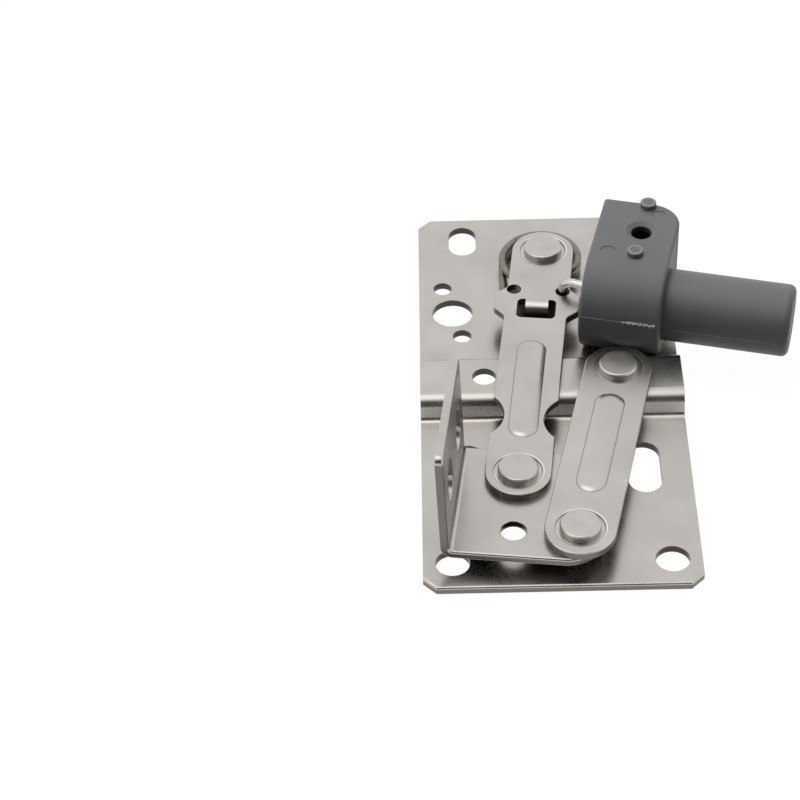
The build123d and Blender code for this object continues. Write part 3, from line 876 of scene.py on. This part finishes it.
@dataclass
class DamperUnit:
    """Moulded housing with its mould marks, plug, cartridge and hook wire.

    Sizes are in millimetres and angles in degrees.
    """

    origin: tuple[float, float] = (19.3, 23.62)  # its screw hole
    turn: float = -14.0
    middle: float = 12.05  # height of the sleeve's middle
    left: float = 9.2  # from the screw hole to the block's ends
    right: float = 7.2
    near_off: float = 9.5  # from the screw hole to the sleeve's middle
    near_radius: float = 10.45
    sleeve_radius: float = 7.3
    sleeve_reach: float = 32.6
    block_line: float = 13.0  # parting line, above the widest line of the near round
    block_line_width: float = 0.16
    block_line_inset: float = 0.6
    sleeve_line: float = -3.0
    sleeve_line_width: float = 0.26
    sleeve_line_inset: float = 1.5
    line_sunk: float = 0.3  # share of a parting line's half width that is sunk
    line_steps: int = 24
    line_sides: int = 8
    flash_run: tuple[float, float] = (0.3, 6.3)  # where flash was torn off, along
    flash_steps: int = 40
    flash_flakes: int = 30
    flash_lift: float = 0.05
    soft_edge: float = 0.22
    sharp: float = 50.0  # least angle that counts as an edge

    def place(self, along: float, across: float, height: float) -> Vector:
        """A point of the housing, given along and across the damper and above the panel."""
        turn = math.radians(self.turn)
        x = self.origin[0] + along * math.cos(turn) - across * math.sin(turn)
        y = self.origin[1] + along * math.sin(turn) + across * math.cos(turn)
        return mm(x, y, height)

    def near_point(self, along: float, radius: float, angle: float) -> Vector:
        """A point on the near round or the sleeve, at an angle above the widest line."""
        turn = math.radians(angle)
        return self.place(
            along,
            -self.near_off - radius * math.cos(turn),
            self.middle + radius * math.sin(turn),
        )

    def parting_lines(self) -> None:
        """Thin raised lines where the mould's halves met."""
        block_run = (-self.left + self.block_line_inset, self.right - self.block_line_inset)
        sleeve_run = (self.right + 0.1, self.sleeve_reach - self.sleeve_line_inset)
        lines = (
            ("block", self.block_line_width, self.near_radius, self.block_line, block_run),
            ("sleeve", self.sleeve_line_width, self.sleeve_radius, self.sleeve_line, sleeve_run),
        )
        for name, width, radius, angle, (start, end) in lines:
            half = width / 2
            path = [
                self.near_point(
                    start + (end - start) * i / self.line_steps, radius - half * self.line_sunk, angle
                )
                for i in range(self.line_steps + 1)
            ]
            points, faces = tube(path, half * MM, self.line_sides)
            # the seams carry a painted highlight in their paler colour
            add_mesh(f"parting_line_{name}", points, faces, SEAM_ACETAL_PAINTED_HIGHLIGHT, "base")

    def flash(self) -> None:
        """A pale ragged ridge where flash was torn off the parting line."""
        draw = random.Random(11)
        start, end = self.flash_run
        steps, reach = self.flash_steps, self.near_radius + self.flash_lift
        ridge = [
            self.near_point(
                start + (end - start) * i / steps,
                reach,
                self.block_line + 0.5 * math.sin(0.9 * i) + draw.uniform(-0.5, 0.5),
            )
            for i in range(steps + 1)
        ]
        swell = [draw.uniform(0.07, 0.22) for _ in range(steps + 1)]
        points, faces = tube(ridge, lambda done: swell[round(done * steps)] * MM, 7)
        for _ in range(self.flash_flakes):
            along = draw.uniform(start - 0.5, end)
            angle = self.block_line + draw.gauss(0.4, 1.2)
            length, thick = draw.uniform(0.2, 0.8), draw.uniform(0.05, 0.12)
            lean = draw.uniform(-2.5, 2.5)
            path = [
                self.near_point(along + length * share, reach, angle + lean * share)
                for share in (-0.5, -0.25, 0.0, 0.25, 0.5)
            ]
            more, rims = tube(
                path, lambda done, t=thick: t * MM * (0.35 + math.sin(math.pi * done)), 6
            )
            faces += [[v + len(points) for v in rim] for rim in rims]
            points += more
        add_mesh("torn_flash", points, faces, MOULD_FLASH, "base")

    def build(self) -> None:
        """Dresses the unit's nodes and adds the mould marks."""
        soften("damper_housing", self.soft_edge, self.sharp)
        dress(["damper_housing"], MOULDED_ACETAL)
        dress(["housing_plug"], PLUG_ACETAL)
        dress(["damper_cylinder"], DRAWN_ALUMINIUM)
        dress(["rod_guide", "piston", "rod_end"], NATURAL_ACETAL)
        dress(["rod_seal", "piston_seal"], NITRILE)
        dress(["piston_rod"], GROUND_ROD)
        dress(["hook_wire"], BRIGHT_WIRE)
        self.parting_lines()
        self.flash()


@dataclass(frozen=True)
class Lamp:
    """A square soft lamp that points at the hinge; metres and watts."""

    name: str
    place: tuple[float, float, float]
    size: float
    power: float
    lights: bool  # whether it lights the hinge
    mirrored: bool  # whether the steel mirrors it


@dataclass
class Studio:
    """Pale floor, soft lamps, a dark card behind the camera, and the camera.

    The camera's place and way of looking were fitted to the photograph.
    """

    position: tuple[float, float, float] = (-22.17, -372.52, 338.94)  # mm
    direction: tuple[float, float, float] = (-0.0164, 0.7385, -0.6740)
    roll: float = 2.13  # degrees, clockwise seen from behind the camera
    focal: float = 2488.4  # pixels, for a picture 800 wide
    picture: float = 800.0
    sensor: float = 36.0
    clips: tuple[float, float] = (0.01, 20.0)  # nearest and farthest that is drawn, metres
    ambient: float = 0.1  # soft light from all round
    floor_colour: str = "#8e8e8c"
    floor_share: float = 0.8  # how much of the floor's look is plain white
    floor_glow: float = 1.22
    floor_half: float = 4.0  # metres
    floor_drop: float = 0.0002  # gap under the plate, metres
    card_colour: str = "#1c1c1c"
    card_dullness: float = 0.9
    card_box: tuple[float, float, float, float] = (0.5, 0.08, 0.9, -0.62)  # half width, foot, top, y
    lamps: tuple[Lamp, ...] = (
        Lamp("overhead_softbox", (-0.08, 0.27, 0.8), 0.45, 8.2, True, False),
        Lamp("front_panel", (-0.22, -0.06, 0.8), 0.6, 1.1, False, True),
        Lamp("side_softbox", (-0.6, 0.05, 0.42), 0.4, 1.0, True, False),
    )

    def floor(self) -> None:
        """A plain pale floor that shows white to the camera and keeps a soft shadow."""
        made = bpy.data.materials.new("painted_studio_floor")
        made.use_nodes = True
        tree = made.node_tree
        tree.nodes.clear()
        share = node(
            tree,
            "ShaderNodeMath",
            {"operation": "MULTIPLY"},
            {0: seen_plainly(tree), 1: self.floor_share},
        ).outputs[0]
        paint = node(
            tree, "ShaderNodeBsdfDiffuse", None, {"Color": linear(self.floor_colour)}
        ).outputs["BSDF"]
        glow = node(
            tree, "ShaderNodeEmission", None, {"Strength": self.floor_glow}
        ).outputs["Emission"]
        mixed = node(tree, "ShaderNodeMixShader", None, {0: share, 1: paint, 2: glow}).outputs[0]
        node(tree, "ShaderNodeOutputMaterial", None, {"Surface": mixed})
        mesh = bpy.data.meshes.new("studio_floor")
        half = self.floor_half
        mesh.from_pydata(
            [(-half, -half, 0.0), (half, -half, 0.0), (half, half, 0.0), (-half, half, 0.0)],
            [],
            [(0, 1, 2, 3)],
        )
        mesh.materials.append(made)
        floor = bpy.data.objects.new("studio_floor", mesh)
        floor.location.z = -self.floor_drop
        bpy.context.scene.collection.objects.link(floor)

    def dark_card(self) -> None:
        """A dark card behind the camera, which the steel's near walls mirror."""
        made = bpy.data.materials.new("black_card")
        made.use_nodes = True
        paint = made.node_tree.nodes["Principled BSDF"].inputs
        paint["Base Color"].default_value = linear(self.card_colour)
        paint["Roughness"].default_value = self.card_dullness
        half, foot, top, away = self.card_box
        outline = [
            (-half, away, foot),
            (half, away, foot),
            (half, away, top),
            (-half, away, top),
        ]
        mesh = bpy.data.meshes.new("dark_card")
        mesh.from_pydata(outline, [], [(0, 1, 2, 3)])
        mesh.materials.append(made)
        card = bpy.data.objects.new("dark_card", mesh)
        card.visible_camera = False
        bpy.context.scene.collection.objects.link(card)

    def world(self) -> None:
        """White surroundings for the camera and for reflections, dimmer as a light."""
        made = bpy.data.worlds.new("white_studio")
        bpy.context.scene.world = made
        made.use_nodes = True
        tree = made.node_tree
        tree.nodes.clear()
        seen = seen_plainly(tree)
        dim = node(tree, "ShaderNodeBackground", None, {"Strength": self.ambient}).outputs[0]
        white = node(
            tree, "ShaderNodeBackground", None, {"Color": (1, 1, 1, 1), "Strength": 1.0}
        ).outputs[0]
        mixed = node(tree, "ShaderNodeMixShader", None, {0: seen, 1: dim, 2: white}).outputs[0]
        node(tree, "ShaderNodeOutputWorld", None, {"Surface": mixed})

    def lights(self) -> None:
        """Large soft lamps that point at the middle of the hinge."""
        target = mm(0, 0, 8)  # about the middle of the hinge
        for lamp in self.lamps:
            data = bpy.data.lights.new(lamp.name, "AREA")
            data.shape = "SQUARE"
            data.size = lamp.size
            data.energy = lamp.power
            made = bpy.data.objects.new(lamp.name, data)
            made.location = lamp.place
            made.rotation_mode = "QUATERNION"
            made.rotation_quaternion = (target - Vector(lamp.place)).to_track_quat("-Z", "Y")
            made.visible_diffuse = lamp.lights
            made.visible_glossy = lamp.mirrored
            bpy.context.scene.collection.objects.link(made)

    def camera(self) -> None:
        """The camera where the photograph was taken from."""
        ahead = Vector(self.direction).normalized()
        level = ahead.cross(Vector((0, 0, 1))).normalized()
        above = level.cross(ahead).normalized()
        roll = math.radians(self.roll)
        right = level * math.cos(roll) - above * math.sin(roll)
        up = level * math.sin(roll) + above * math.cos(roll)
        turn = Matrix((right, up, -ahead)).transposed().to_4x4()
        data = bpy.data.cameras.new("photo_view")
        data.sensor_width = self.sensor
        data.lens = self.focal / self.picture * self.sensor
        data.clip_start, data.clip_end = self.clips
        made = bpy.data.objects.new("photo_view", data)
        made.matrix_world = Matrix.Translation(mm(*self.position)) @ turn
        bpy.context.scene.collection.objects.link(made)
        bpy.context.scene.camera = made

    def build(self) -> None:
        """Sets the whole studio up."""
        self.floor()
        self.dark_card()
        self.world()
        self.lights()
        self.camera()
        bpy.context.scene.view_settings.view_transform = "Standard"


def main() -> None:
    """Builds the looks of every sub-assembly, then the studio."""
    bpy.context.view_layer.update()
    SheetParts().build()
    Rivets().build()
    TorsionSpring().build()
    DamperUnit().build()
    Studio().build()
    bpy.context.view_layer.update()


if __name__ == "__main__":
    main()
